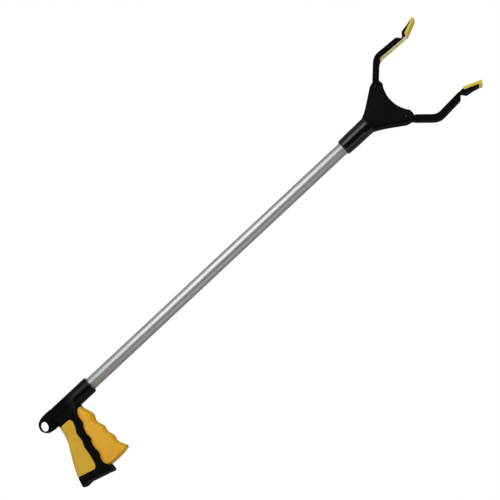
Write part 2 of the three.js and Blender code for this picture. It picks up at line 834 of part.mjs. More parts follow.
function padOutline() {
  const shape = new THREE.Shape();
  const go = (u, n) => shape.lineTo(tipPoint(u, n).x, tipPoint(u, n).y);
  const bend = (cu, cn, u, n) => {
    const control = tipPoint(cu, cn);
    const end = tipPoint(u, n);
    shape.quadraticCurveTo(control.x, control.y, end.x, end.y);
  };
  shape.moveTo(FLEX_X + 1.2, TONGUE_Z);
  shape.lineTo(TIP_START.x, TIP_START.y);
  go(25.4, 0);
  bend(27.9, 0, 27.6, 2.4);
  bend(27.2, 5.2, 24.6, 5.4);
  go(20.1, 5.6);
  go(20.1, 4.4);
  go(0, 4.4);
  shape.lineTo(683, TONGUE_Z + TONGUE_DEEP);
  shape.lineTo(FLEX_X + 1.2, TONGUE_Z + TONGUE_DEEP);
  return shape;
}

function backingOutline() {
  const shape = new THREE.Shape();
  shape.moveTo(FLEX_X + CLEAR, TONGUE_Z + TONGUE_DEEP + CLEAR);
  shape.lineTo(682.5, TONGUE_Z + TONGUE_DEEP + CLEAR);
  for (const [u, n] of [
    [-0.3, 4.7],
    [19.8, 4.7],
    [19.8, 5.5],
    [12, 6.5],
  ])
    shape.lineTo(tipPoint(u, n).x, tipPoint(u, n).y);
  const shoulder = tipPoint(3.6, 8.7);
  const corner = tipPoint(0.2, 9.5);
  const heel = tipPoint(-2, 7.4);
  shape.lineTo(shoulder.x, shoulder.y);
  shape.quadraticCurveTo(corner.x, corner.y, heel.x, heel.y);
  shape.lineTo(678, 61);
  shape.lineTo(FLEX_X + CLEAR, 60.5);
  return shape;
}

const upperPieces = {
  jaw_arm: [upperArm, blackPlastic],
  jaw_liner: [linerBar(0), padYellow],
  tip_backing: [plate(backingOutline(), -BACKING_HALF, BACKING_HALF, 0, 3), blackPlastic],
  jaw_pad: [plate(padOutline(), -PAD_HALF, PAD_HALF, 0, 4), padYellow],
  jaw_pivot_pin: [rodAlongY(JAW, -HEAD_HALF - 0.4, HEAD_HALF + 0.4, JAW_PIN_R, 20), steel],
  crosshead_pin: [rodAlongY(CROSS_PIN, -CROSS_HALF + 0.1, CROSS_HALF - 0.1, CROSS_PIN_R), steel],
};
for (const [name, [made, material]] of Object.entries(upperPieces)) {
  addPiece(name + "_upper", made, material);
  addPiece(name + "_lower", mirroredUp(made), material);
}

export default tool;
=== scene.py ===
"""Reacher grabber: the visual model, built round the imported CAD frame.

Every moulded piece is modelled as a signed distance field in millimetres, meshed, and put
in the row frame in metres. Millimetre coordinates count from the datum: x from the
barrel's mouth, z from the tube's axis, y from the middle.
"""

import json
import math

import bmesh
import bpy
import numpy as np
import openvdb
from mathutils import Matrix, Vector


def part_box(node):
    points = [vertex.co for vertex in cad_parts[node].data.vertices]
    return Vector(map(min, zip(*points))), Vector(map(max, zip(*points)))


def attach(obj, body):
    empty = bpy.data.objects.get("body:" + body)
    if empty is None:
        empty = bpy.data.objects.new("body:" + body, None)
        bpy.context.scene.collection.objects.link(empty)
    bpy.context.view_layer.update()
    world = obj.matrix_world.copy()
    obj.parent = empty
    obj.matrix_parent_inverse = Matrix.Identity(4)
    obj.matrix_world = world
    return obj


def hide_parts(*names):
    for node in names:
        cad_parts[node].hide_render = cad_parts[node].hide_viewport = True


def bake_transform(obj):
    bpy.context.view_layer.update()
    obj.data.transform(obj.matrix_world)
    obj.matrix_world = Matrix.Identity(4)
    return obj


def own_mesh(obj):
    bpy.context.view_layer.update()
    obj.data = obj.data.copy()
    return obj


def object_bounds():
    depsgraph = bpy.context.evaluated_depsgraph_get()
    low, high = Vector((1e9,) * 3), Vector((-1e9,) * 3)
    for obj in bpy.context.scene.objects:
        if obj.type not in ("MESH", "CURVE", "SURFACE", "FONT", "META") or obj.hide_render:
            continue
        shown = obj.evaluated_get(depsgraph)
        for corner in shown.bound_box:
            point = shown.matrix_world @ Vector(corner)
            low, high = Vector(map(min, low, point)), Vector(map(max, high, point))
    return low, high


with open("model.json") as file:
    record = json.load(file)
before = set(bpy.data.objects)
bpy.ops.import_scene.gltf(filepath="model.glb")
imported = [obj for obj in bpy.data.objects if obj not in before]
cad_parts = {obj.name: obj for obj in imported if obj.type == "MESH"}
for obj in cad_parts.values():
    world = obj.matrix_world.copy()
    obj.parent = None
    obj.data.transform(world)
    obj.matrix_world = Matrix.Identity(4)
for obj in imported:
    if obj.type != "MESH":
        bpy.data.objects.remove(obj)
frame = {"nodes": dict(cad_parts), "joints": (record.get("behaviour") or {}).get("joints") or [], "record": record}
CAD_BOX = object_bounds()

# ---- Datum and shared sizes, in millimetres ----

MM = 1000  # millimetres in a metre
TUBE_LOW, TUBE_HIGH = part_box("main_tube")
TUBE_R = (TUBE_HIGH.z - TUBE_LOW.z) * MM / 2
TUBE_REAR = -24
TUBE_FRONT = TUBE_REAR + (TUBE_HIGH.x - TUBE_LOW.x) * MM
DATUM = Vector((TUBE_LOW.x - TUBE_REAR / MM, 0, (TUBE_LOW.z + TUBE_HIGH.z) / 2))
SPLIT_Y = 1  # the plane that parts the right and left shells
PIVOT = (-38, 5.5)
JAW = (597.5, 32.5)
FLEX_X = 676  # where the arm ends and the tip's flexing neck starts
TIP_ANGLE = math.radians(22.8)
TIP_START = (685, 58.1)


def joint_named(name):
    return next(j for j in frame["joints"] if j["name"] == name)


SQUEEZE = math.radians(20)
SWING = math.radians(joint_named("jaw_upper_hinge")["range_deg"][1])
TRAVEL = joint_named("rod_slide")["range_m"][1] * MM


def to_row(x, y, z):
    return DATUM + Vector((x, y, z)) / MM


def row_x(x):
    return to_row(x, 0, 0).x


def box_middle(name):
    """The middle of a CAD node's box, in millimetres from the datum."""
    low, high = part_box(name)
    return ((low + high) / 2 - DATUM) * MM


# ---- Outlines in the XZ plane ----


def catmull(points, steps):
    """Points along a Catmull-Rom spline through the given points, after the first."""
    p = np.array(points, float)
    out = []
    for i in range(len(p) - 1):
        a, b, c, d = p[max(i - 1, 0)], p[i], p[i + 1], p[min(i + 2, len(p) - 1)]
        for k in range(1, steps + 1):
            t = k / steps
            v0, v1 = (c - a) / 2, (d - b) / 2
            cube, square = 2 * b - 2 * c + v0 + v1, -3 * b + 3 * c - 2 * v0 - v1
            out.append(cube * t**3 + square * t**2 + v0 * t + b)
    return [tuple(q) for q in out]


class Pen:
    """Draws an outline: straight lines, quadratic bends, splines and arcs."""

    BEND_STEPS, SPLINE_STEPS, ARC_STEPS = 8, 6, 32

    def __init__(self, x, z):
        self.points = [(x, z)]

    def line(self, *points):
        self.points += points
        return self

    def bend(self, control, end):
        a, c, b = (np.array(q, float) for q in (self.points[-1], control, end))
        for k in range(1, self.BEND_STEPS + 1):
            t = k / self.BEND_STEPS
            self.points.append(tuple(a * (1 - t) ** 2 + 2 * c * t * (1 - t) + b * t * t))
        return self

    def spline(self, points):
        self.points += catmull([self.points[-1]] + list(points), self.SPLINE_STEPS)
        return self

    def arc(self, centre, r, start, end):
        for k in range(self.ARC_STEPS + 1):
            a = start + (end - start) * k / self.ARC_STEPS
            self.points.append((centre[0] + r * math.cos(a), centre[1] + r * math.sin(a)))
        return self


# ---- Distance fields ----


class Room:
    """A box of sample points, step apart."""

    def __init__(self, low, high, step):
        self.low, self.step = np.array(low, float), step
        axes = [np.arange(a, b + step, step, dtype=np.float32) for a, b in zip(low, high)]
        self.x = axes[0][:, None, None]
        self.y = axes[1][None, :, None]
        self.z = axes[2][None, None, :]

    def inside(self, points):
        """Signed distance to a closed outline in the XZ plane, negative inside."""
        shortest = 1e-12  # the square of the shortest edge that counts
        x, z = self.x[:, 0, :], self.z[0]
        best = np.full((x.shape[0], z.shape[1]), np.inf, np.float32)
        odd = np.zeros(best.shape, bool)
        for (ax, az), (bx, bz) in zip(points, points[1:] + points[:1]):
            ex, ez = bx - ax, bz - az
            span = ex * ex + ez * ez
            if span < shortest:
                continue
            wx, wz = x - ax, z - az
            t = np.clip((wx * ex + wz * ez) / span, 0, 1)
            best = np.minimum(best, (wx - ex * t) ** 2 + (wz - ez * t) ** 2)
            if az != bz:
                odd ^= ((az > z) != (bz > z)) & (x < ax + ex * (z - az) / ez)
        best = np.sqrt(best)
        return np.where(odd, -best, best)[:, None, :].astype(np.float32)

    def disc(self, at, r):
        return np.hypot(self.x - at[0], self.z - at[1]) - r

    def capsule(self, a, b, r):
        """A stadium in the XZ plane."""
        ex, ez = b[0] - a[0], b[1] - a[1]
        wx, wz = self.x - a[0], self.z - a[1]
        t = np.clip((wx * ex + wz * ez) / (ex * ex + ez * ez), 0, 1)
        return np.hypot(wx - ex * t, wz - ez * t) - r

    def slab(self, profile, half, edge):
        """A profile given thickness along Y, with its edges rounded."""
        return rounded(profile, np.abs(self.y) - half, edge)

    def rod(self, x0, x1, r, edge=0.0):
        """A round bar along the tube's axis."""
        radius = np.hypot(self.y, self.z)
        return rounded(radius - r, np.abs(self.x - (x0 + x1) / 2) - (x1 - x0) / 2, edge)

    def block(self, x0, x1, y0, y1, z0, z1, edge=0.0):
        dx = np.abs(self.x - (x0 + x1) / 2) - (x1 - x0) / 2
        dy = np.abs(self.y - (y0 + y1) / 2) - (y1 - y0) / 2
        dz = np.abs(self.z - (z0 + z1) / 2) - (z1 - z0) / 2
        return rounded(rounded(dx, dz, edge), dy, edge)


def rounded(a, b, edge):
    """The corner between two faces, rounded to a radius."""
    a, b = a + edge, b + edge
    return np.minimum(np.maximum(a, b), 0) + np.hypot(np.maximum(a, 0), np.maximum(b, 0)) - edge


def both(a, b, k=0.0):
    """Where two fields meet, with the crest eased over k."""
    if k == 0:
        return np.maximum(a, b)
    h = np.maximum(k - np.abs(a - b), 0) / k
    return np.maximum(a, b) + h * h * (k / 4)


def either(a, b, k=0.0):
    """Two fields joined, with a fillet about k wide."""
    return -both(-a, -b, k)


def without(a, *tools, k=0.0):
    for b in tools:
        a = both(a, -b, k)
    return a


def ease(t):
    t = np.clip(t, 0, 1)
    return t * t * (3 - 2 * t)


# ---- Meshes ----


def mesh_object(name, points, faces):
    """points in millimetres from the datum; faces as an array or a list of quads."""
    data = bpy.data.meshes.new(name)
    co = np.asarray(points, float) / MM + np.array(DATUM)
    faces = np.asarray(faces)
    starts = np.arange(0, faces.size, faces.shape[1], dtype=np.int32)
    data.vertices.add(len(co))
    data.vertices.foreach_set("co", co.astype(np.float32).ravel())
    data.loops.add(faces.size)
    data.loops.foreach_set("vertex_index", faces.astype(np.int32).ravel())
    data.polygons.add(len(faces))
    data.polygons.foreach_set("loop_start", starts)
    data.update(calc_edges=True)
    data.validate()
    data.polygons.foreach_set("use_smooth", np.full(len(data.polygons), True))
    obj = bpy.data.objects.new(name, data)
    bpy.context.collection.objects.link(obj)
    return obj


def skin(room, field):
    """The surface of a field as (points, quads), facing out."""
    band = 3  # how far out the grid's background value stands for, in steps
    grid = openvdb.FloatGrid(background=band * room.step)
    shape = np.broadcast_shapes(room.x.shape, room.y.shape, room.z.shape)
    grid.copyFromArray(np.array(np.broadcast_to(field, shape), dtype=np.float32))
    points, quads = grid.convertToQuads(0.0)
    return points * room.step + room.low, quads


def mirrored(points, faces):
    """The same surface on the other side of the tube."""
    return points * np.array([1, 1, -1]), faces[:, ::-1]


SLOT_OF = {s["node"]: s["material_slot"] for s in frame["record"]["subparts"]}


def finish_piece(obj, material, body, node):
    """Puts a mesh in a CAD node's place. With no body, it is left unattached."""
    obj.data.materials.append(material)
    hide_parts(node)
    if body:
        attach(obj, body)


def turned(name, profile, axis, at, segments):
    """A turned piece: profile is (along, radius) pairs in millimetres, closed on itself."""
    rows, points, faces = len(profile), [], []
    for i in range(segments):
        a = 2 * math.pi * i / segments
        for along, r in profile:
            u, v = r * math.cos(a), r * math.sin(a)
            if axis == "X":
                points.append((at[0] + along, at[1] + u, at[2] + v))
            else:
                points.append((at[0] + v, at[1] + along, at[2] + u))
    for i in range(segments):
        for j in range(rows):
            a, b = i * rows + j, i * rows + (j + 1) % rows
            c, d = (b + rows) % (rows * segments), (a + rows) % (rows * segments)
            faces.append((a, b, c, d))
    return mesh_object(name, points, faces)


# ---- Materials ----


class Graph:
    """A short way to write a material's nodes."""

    def __init__(self, name):
        self.material = bpy.data.materials.new(name)
        self.material.use_nodes = True
        self.tree = self.material.node_tree
        self.tree.nodes.clear()
        self.out = self.add("ShaderNodeOutputMaterial")
        self.coords = self.add("ShaderNodeTexCoord").outputs["Object"]

    def add(self, kind, inputs=None, **settings):
        node = self.tree.nodes.new(kind)
        for key, value in settings.items():
            setattr(node, key, value)
        for key, value in (inputs or {}).items():
            if isinstance(value, bpy.types.NodeSocket):
                self.tree.links.new(value, node.inputs[key])
            else:
                node.inputs[key].default_value = value
        return node

    def stretched(self, x, y, z):
        return self.add("ShaderNodeMapping", {"Vector": self.coords, "Scale": (x, y, z)}).outputs[0]

    def noise(self, scale, detail, vector=None):
        values = {"Vector": vector or self.coords, "Scale": scale, "Detail": detail}
        return self.add("ShaderNodeTexNoise", values).outputs["Fac"]

    def ramp(self, value, low, high, to_low=0.0, to_high=1.0):
        values = {"Value": value, "From Min": low, "From Max": high}
        values |= {"To Min": to_low, "To Max": to_high}
        return self.add("ShaderNodeMapRange", values).outputs[0]

    def maths(self, operation, a, b):
        return self.add("ShaderNodeMath", {0: a, 1: b}, operation=operation).outputs[0]

    def blend(self, amount, a, b):
        return self.add("ShaderNodeMix", {0: amount, 6: a, 7: b}, data_type="RGBA").outputs[2]

    def bump(self, height, distance, strength, normal=None):
        values = {"Height": height, "Distance": distance, "Strength": strength}
        if normal:
            values["Normal"] = normal
        return self.add("ShaderNodeBump", values).outputs[0]

    def along(self, full, gone):
        """1 up to one x, fading to 0 at another."""
        x = self.add("ShaderNodeSeparateXYZ", {0: self.coords}).outputs[0]
        return self.ramp(x, full, gone, 1, 0)

    def edges(self):
        """1 on sharp outer edges, where handling polishes or rubs the surface."""
        flat, sharp = 0.52, 0.6
        pointed = self.add("ShaderNodeNewGeometry").outputs["Pointiness"]
        return self.ramp(pointed, flat, sharp)

    def surface(self, **inputs):
        named = {key.replace("_", " "): value for key, value in inputs.items()}
        shader = self.add("ShaderNodeBsdfPrincipled", named)
        self.tree.links.new(shader.outputs[0], self.out.inputs[0])
        return self.material


def grey(v):
    return (v, v, v, 1)


def moulded_plastic(name, colour, worn, roughness, grain, specular, polish=None):
    """Moulded plastic: fine eroded grain, faint flow marks, and paler rubbed edges.

    grain is the depth of its bumps in metres. polish makes one end shinier, and is
    (x where it is full, x where it has gone, its roughness, the specular it adds).
    """
    g = Graph(name)
    flow = g.noise(60, 2, g.stretched(1, 2, 0.5))
    fine = g.noise(2600, 2)
    rub = g.maths("MULTIPLY", g.edges(), g.ramp(g.noise(350, 4), 0.4, 0.7))
    base = g.blend(g.ramp(flow, 0.3, 0.7, 0, 0.35), colour, worn)
    base = g.blend(g.maths("MULTIPLY", rub, 0.5), base, worn)
    rough = g.ramp(g.noise(180, 3), 0.3, 0.7, roughness - 0.04, roughness + 0.05)
    if polish:
        full, gone, polished_roughness, shine = polish
        polished = g.along(full, gone)
        less = g.maths("MULTIPLY", polished, roughness - polished_roughness)
        rough = g.maths("SUBTRACT", rough, less)
        specular = g.maths("ADD", g.maths("MULTIPLY", polished, shine), specular)
    return g.surface(
        Base_Color=base,
        Roughness=rough,
        Specular_IOR_Level=specular,
        Normal=g.bump(fine, grain, 0.5, g.bump(flow, 0.0002, 0.3)),
    )


def soft_rubber(name, colour, shade, roughness, scale, depth, pale_end=None):
    """Soft-touch rubber: a pebbled skin, dull sheen, and a darker tone towards the edges of the pebble cells.

    scale and depth are the pebbles'. pale_end is (the x it reaches, its colour).
    """
    g = Graph(name)
    cells = {"Vector": g.coords, "Scale": scale}
    pebble = g.add("ShaderNodeTexVoronoi", cells, feature="SMOOTH_F1").outputs["Distance"]
    patches = g.noise(45, 4)
    base = g.blend(g.ramp(patches, 0.35, 0.7), colour, shade)
    # a darker tone towards the edges of the pebble cells
    base = g.blend(g.ramp(pebble, 0.1, 0.7, 0, 0.25), base, shade)
    if pale_end:
        end, pale = pale_end
        base = g.blend(g.along(end - 1 / MM, end), base, pale)
    return g.surface(
        Base_Color=base,
        Roughness=g.ramp(g.noise(300, 3), 0.3, 0.7, roughness - 0.05, roughness + 0.06),
        Specular_IOR_Level=0.3,
        Sheen_Weight=0.08,
        Normal=g.bump(pebble, depth, 0.4, g.bump(g.noise(3500, 2), 0.00003, 0.5)),
    )


def amber_plastic(name, colour, deep):
    """The trigger: glossy amber plastic that lets a little light in, with faint sink marks."""
    g = Graph(name)
    flow = g.noise(38, 3, g.stretched(1, 1.5, 0.7))
    base = g.blend(g.ramp(flow, 0.3, 0.72), colour, deep)
    return g.surface(
        Base_Color=base,
        Roughness=g.ramp(g.noise(140, 3), 0.3, 0.7, 0.3, 0.38),
        Specular_IOR_Level=0.24,
        Subsurface_Weight=0.12,
        Subsurface_Radius=(1.0, 0.5, 0.15),
        Subsurface_Scale=0.002,
        Normal=g.bump(g.noise(1500, 2), 0.000015, 0.3, g.bump(flow, 0.0004, 0.25)),
    )


def anodised(name):
    """Drawn aluminium with a satin anodised skin: fine lines along the tube."""
    g = Graph(name)
    lines = g.noise(1400, 3, g.stretched(0.012, 1, 1))
    long_lines = g.noise(500, 2, g.stretched(0.004, 1, 1))
    base = g.blend(g.ramp(lines, 0.3, 0.7), (0.63, 0.635, 0.65, 1), (0.66, 0.665, 0.68, 1))
    rough = g.ramp(g.noise(90, 4), 0.3, 0.7, 0.46, 0.49)
    return g.surface(
        Base_Color=base,
        Metallic=1.0,
        Roughness=rough,
        Normal=g.bump(long_lines, 0.000004, 0.2),
    )


def plated_steel(name, tint, worn, roughness):
    """Plated steel with fine marks, blotched between two tints."""
    g = Graph(name)
    marks = g.noise(900, 4)
    base = g.blend(g.ramp(marks, 0.35, 0.7), tint, worn)
    return g.surface(
        Base_Color=base,
        Metallic=1.0,
        Roughness=g.ramp(marks, 0.3, 0.7, roughness - 0.06, roughness + 0.1),
        Normal=g.bump(marks, 0.00001, 0.4),
    )


SATIN = {"roughness": 0.5, "grain": 0.03 / MM}
JET = {"colour": (0.0012, 0.0011, 0.0014, 1), "worn": grey(0.004), "specular": 0.035}
BLACK = moulded_plastic("black_moulded", **JET, **SATIN)
HANDLE_BLACK = moulded_plastic(
    "handle_moulded", **JET, **SATIN, polish=(row_x(-22), row_x(-44), 0.3, 0.14)
)
HEAD_BLACK = moulded_plastic(
    "head_moulded",
    colour=(0.0015, 0.0015, 0.0026, 1),
    worn=grey(0.005),
    specular=0.04,
    polish=(row_x(548), row_x(552), 0.15, 0.5),
    **SATIN,
)
NYLON = moulded_plastic(
    "white_nylon",
    colour=(0.74, 0.72, 0.66, 1),
    worn=grey(0.6),
    roughness=0.45,
    grain=0.02 / MM,
    specular=0.045,
)
PALE = (0.82, 0.78, 0.33, 1)
FINE_PEBBLE = {"scale": 1500, "depth": 0.05 / MM}
GRIP = soft_rubber(
    "grip_rubber",
    colour=(0.62, 0.365, 0.016, 1),
    shade=(0.52, 0.305, 0.013, 1),
    roughness=0.62,
    scale=900,
    depth=0.08 / MM,
)
PAD = soft_rubber(
    "pad_rubber",
    colour=(0.68, 0.50, 0.045, 1),
    shade=(0.60, 0.44, 0.038, 1),
    roughness=0.7,
    pale_end=(row_x(684.4), PALE),
    **FINE_PEBBLE,
)
LINER = soft_rubber(
    "liner_rubber", colour=PALE, shade=(0.74, 0.70, 0.29, 1), roughness=0.6, **FINE_PEBBLE
)
AMBER = amber_plastic(
    "trigger_amber", colour=(0.74, 0.385, 0.005, 1), deep=(0.66, 0.33, 0.005, 1)
)
TUBE = anodised("tube_anodised")
STEEL = plated_steel("plated_steel", tint=grey(0.55), worn=grey(0.36), roughness=0.3)
DARK_STEEL = plated_steel("blackened_steel", tint=grey(0.02), worn=grey(0.05), roughness=0.45)

# ---- Tube ----


def build_tube():
    wall = 1.2
    inside = TUBE_R - wall
    outer, inner = 0.25, 0.2  # the chamfers of the tube's ends
    profile = [
        (TUBE_REAR, inside + inner),
        (TUBE_REAR, TUBE_R - outer),
        (TUBE_REAR + outer, TUBE_R),
        (TUBE_FRONT - outer, TUBE_R),
        (TUBE_FRONT, TUBE_R - outer),
        (TUBE_FRONT, inside + inner),
        (TUBE_FRONT - inner, inside),
        (TUBE_REAR + inner, inside),
    ]
    tube = turned("tube", profile, "X", (0, 0, 0), segments=128)
    finish_piece(tube, TUBE, "frame", "main_tube")


build_tube()

# ---- Screws ----


def screw_surface():
    """A pan-head screw with a cross recess, its head's top at y = 0."""
    room = Room((-3.2, -21, -3.2), (3.2, 0.8, 3.2), 0.16)
    head_top, head_r, head_deep, dome_r = 0.05, 2.45, 1.6, 5.2
    shank_top, shank_r, length, pitch, thread = 1.2, 1.25, 17.5, 1.1, 0.088
    wing_r, wing_half, wing_deep, wing_draft = 1.15, 0.26, 1.15, 0.35
    head = both(room.disc((0, 0), head_r), both(room.y + head_top, -head_deep - room.y), 0.5)
    dome = np.sqrt(room.x**2 + (room.y + dome_r) ** 2 + room.z**2) - dome_r
    head = both(head, dome, 0.3)
    turn = np.sin((room.y * 2 * math.pi / pitch) + np.arctan2(room.z, room.x))
    ends = both(room.y + shank_top, -length - room.y)
    shank = both(room.disc((0, 0), shank_r) - thread * turn, ends)
    wings = [
        both(
            np.abs(a) - wing_r + wing_draft * np.abs(room.y),
            both(np.abs(b) - wing_half, -wing_deep - room.y),
        )
        for a, b in ((room.x, room.z), (room.z, room.x))
    ]
    return skin(room, without(either(head, shank), *wings))


def build_screws():
    points, faces = screw_surface()
    for name, (x, top, z, _) in SCREWS.items():
        screw = mesh_object("cross_" + name, points + np.array([x, top, z]), faces)
        finish_piece(screw, STEEL, "frame", name)


def screw_place(name):
    """A screw's x, its head's top, its z, and its head's radius."""
    low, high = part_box(name)
    middle = box_middle(name)
    return middle.x, high.y * MM, middle.z, (high.x - low.x) * MM / 2


def drill_for_screws(room, body, prefix):
    """Cuts the seats and the holes of the screws whose names start with the prefix."""
    gap, seat_deep, hole_r, hole_end = 0.3, 1.9, 1.6, -7.5
    for name, (x, top, z, r) in SCREWS.items():
        if name.startswith(prefix):
            seat = both(room.disc((x, z), r + gap), top - seat_deep - room.y)
            hole = both(room.disc((x, z), hole_r), hole_end - room.y)
            body = without(body, either(seat, hole))
    return body


def build_halves(room, body, name, node, material, gap=0.08, lip=0.5):
    """Parts a body at the split plane, into a right and a left piece of the frame.

    gap is half the gap between them, and lip the easing of their edges there.
    """
    seam = room.y - SPLIT_Y
    for side, cut in (("right", seam + gap), ("left", gap - seam)):
        half = mesh_object(name + side, *skin(room, both(body, cut, lip)))
        finish_piece(half, material, "frame", node + side)


SCREWS = {name: screw_place(name) for name in frame["nodes"] if "_screw_" in name}
build_screws()

# ---- Handle ----

BARREL_R = 12.9
LUG_X, LUG_R, LUG_HALF = -85.6, 12.5, 3.5  # the thin tail lug round the hang hole
HOLE_AT, HOLE_HALF, HOLE_MEAN = (-90.3, 0), (5.9, 7.7), 6.6
GRIP_HALF = 13.2
BACK = [
    (-72.6, -12), (-72.9, -26), (-76.2, -42.6), (-84.4, -60.6), (-92.8, -80),
    (-97.7, -94.5), (-99.4, -104.4),
]
FRONT = [
    (-50.6, -107.5), (-54.2, -101), (-53.6, -94), (-50.2, -86.4), (-50.8, -76),
    (-49.6, -68.4), (-46.2, -61.6), (-47.1, -53), (-44.6, -43.4), (-40.9, -36.6),
    (-40.6, -28), (-38.2, -21), (-34.9, -16.6), (-31.8, -11.6),
]
SOLE = (-72, -110.7)
SOLE_SLOPE = math.tan(math.radians(17.4))
SOLE_ENDS = (-88, -54.6)
HEEL = (-100.8, -106.3)
FOOT_BACK = BACK[5]
PANEL_SINK, PANEL_DEEP = 0.3, 2.0  # the grip panel's skin and underside, below the grip's
CUT_TOP, CUT_LOW, CUT_FRONT, CUT_REAR = 40, -160, 40, -140  # clear of the whole grip

TRIGGER_HALF, TRIGGER_SLOT_HALF = 9.4, 9.9
TRIGGER_TOP = -15.7
TRIGGER_CREST = -29.6  # the front end of the trigger's top
CROWN_R = 7.2
NECK_OUT, NECK_SLOT_HALF = 5.6, 5.95
PIN_BORE_R = 1.75
BROW_FRONT, BROW_REAR, BROW_TOP, BROW_GAP = -29.4, -36, -9, 0.4


def draw_back(pen):
    return pen.line(BACK[0]).spline(BACK[1:])


def draw_sole(pen):
    """The sloping sole and the rounded toe."""
    pen.line(*[(x, SOLE[1] - SOLE_SLOPE * (x - SOLE[0])) for x in SOLE_ENDS])
    return pen.bend((-51.4, -117.6), (-50.9, -113.6))


def grip_outline():
    pen = draw_back(Pen(BACK[0][0], 0)).bend((-99.7, -106.2), (-98.2, -106.2))
    return draw_sole(pen).line(FRONT[0]).spline(FRONT[1:]).line((FRONT[-1][0], 0)).points


def foot_outline():
    pen = Pen(FOOT_BACK[0] - 1, FOOT_BACK[1]).line((HEEL[0] - 1, HEEL[1]))
    return draw_sole(pen).line(FRONT[0], (-70, -100.8)).points


def heel_outline():
    """What lies in front of the line down the foot's back."""
    lean = (HEEL[0] - FOOT_BACK[0]) / (HEEL[1] - FOOT_BACK[1])
    top, bottom = -80, -130
    ends = [(HEEL[0] + lean * (z - HEEL[1]), z) for z in (top, bottom)]
    return ends + [(CUT_FRONT, bottom), (CUT_FRONT, top)]


def back_outline():
    """What lies in front of the grip's back."""
    pen = draw_back(Pen(BACK[0][0], CUT_TOP))
    return pen.line((-108, CUT_LOW), (CUT_FRONT, CUT_LOW), (CUT_FRONT, CUT_TOP)).points


def web_outline():
    """What lies behind the slanted front of the web that joins the grip to the barrel."""
    slant = [(-20, 7.5), (-36.8, -19.7)]
    return slant + [(slant[1][0], CUT_LOW), (CUT_REAR, CUT_LOW), (CUT_REAR, slant[0][1])]


def trigger_room_outline():
    top, reach, wall = -13.5, 114, 4
    pen = Pen(-58.6, top).line((-69, -26)).spline([(x + wall, z) for x, z in BACK[2:6]])
    pen.arc(PIVOT, reach, math.atan2(-102, -55.5), math.atan2(-112, 30))
    return pen.line((0, -100), (0, top)).points


def panel_outline():
    """The soft panel's edge, left open towards the grip's back."""
    top, rear = -20.4, -125
    pen = Pen(rear, top).line((-57, top)).bend((-51.2, top), (-51.2, -27.5))
    pen.spline(
        [(-53.4, -35), (-57.6, -44.5), (-58, -56.5), (-61, -66.5), (-62, -80), (-64.2, -93.5)]
    )
    return pen.bend((-66, -100.8), (-71.5, -99.6)).line((rear, -83.3)).points


def hang_hole(room):
    """An oval, scaled to be roughly a distance."""
    across, up = ((a - at) / half for a, at, half in zip((room.x, room.z), HOLE_AT, HOLE_HALF))
    return (np.hypot(across, up) - 1) * HOLE_MEAN


def barrel_field(room):
    """The barrel, hollowed round the hang hole, and the thin lug at its tail."""
    barrel = either(room.rod(-84, 0, BARREL_R, 1.8), room.rod(-80, -30, BARREL_R, 5))
    hollow = both(room.disc((HOLE_AT[0], 0.4), 10), LUG_HALF - np.abs(room.y))
    barrel = without(barrel, hollow, k=0.8)
    straight = both(np.abs(room.z) - LUG_R, np.maximum(LUG_X - room.x, room.x + 70))
    lug = room.slab(either(room.disc((LUG_X, 0), LUG_R), straight), LUG_HALF, 1.4)
    return either(barrel, lug, 3)


def grip_field(room, back):
    grip = both(back, room.slab(room.inside(grip_outline()), GRIP_HALF, 1.5), 0.8)
    grip = both(grip, room.slab(room.inside(web_outline()), GRIP_HALF, 3.6), 0.6)
    foot = room.slab(room.inside(foot_outline()), GRIP_HALF, 1.2)
    foot = both(foot, room.slab(room.inside(heel_outline()), GRIP_HALF, 9.5), 0.6)
    return either(grip, foot, 1)


def brow_field(room):
    """What hangs from the barrel in front of the web, over the trigger's top."""
    crown = rounded(room.x - BROW_FRONT, np.abs(room.y) - TRIGGER_HALF, CROWN_R)
    height = np.maximum(TRIGGER_TOP + BROW_GAP - room.z, room.z - BROW_TOP)
    return both(crown, np.maximum(height, BROW_REAR - room.x), 0.5)


def bores_field(room):
    """The tube's socket, the spring's bore, the draw bar's slots and the trigger's pin."""
    bores = either(room.rod(-24.3, 5, 9.85), room.rod(-75, -50, 6.2))
    for front, bottom, top in ((-23, -9, 9.2), (-31, -16.5, -8)):
        slot = room.block(-54, front, -NECK_SLOT_HALF, NECK_SLOT_HALF, bottom, top)
        bores = either(bores, slot)
    return either(bores, both(room.disc(PIVOT, PIN_BORE_R), np.abs(room.y) - TRIGGER_SLOT_HALF))


def build_handle():
    room = Room((-103, -15.5, -120), (3, 15.5, 16), 0.6)
    back = room.slab(room.inside(back_outline()), GRIP_HALF, 7)
    body = either(barrel_field(room), grip_field(room, back), 3)
    body = both(body, -hang_hole(room), 1.2)
    swing = room.slab(room.inside(trigger_room_outline()), TRIGGER_SLOT_HALF, 0.5)
    body = either(without(body, swing, k=0.7), brow_field(room), 1)
    body = without(body, bores_field(room), k=0.7)
    panel = room.inside(panel_outline())
    recess = both(panel - 0.3, -(back + PANEL_DEEP + 0.3))
    body = without(body, recess, k=0.5)
    body = drill_for_screws(room, body, "handle")
    build_halves(room, body, "handle_", "handle_shell_", HANDLE_BLACK)
    cover = both(both(panel, back - PANEL_SINK, 1.4), -(back + PANEL_DEEP))
    build_halves(room, cover, "grip_cover_", "grip_panel_", GRIP, 0.06, 0.35)


build_handle()

# ---- Trigger ----

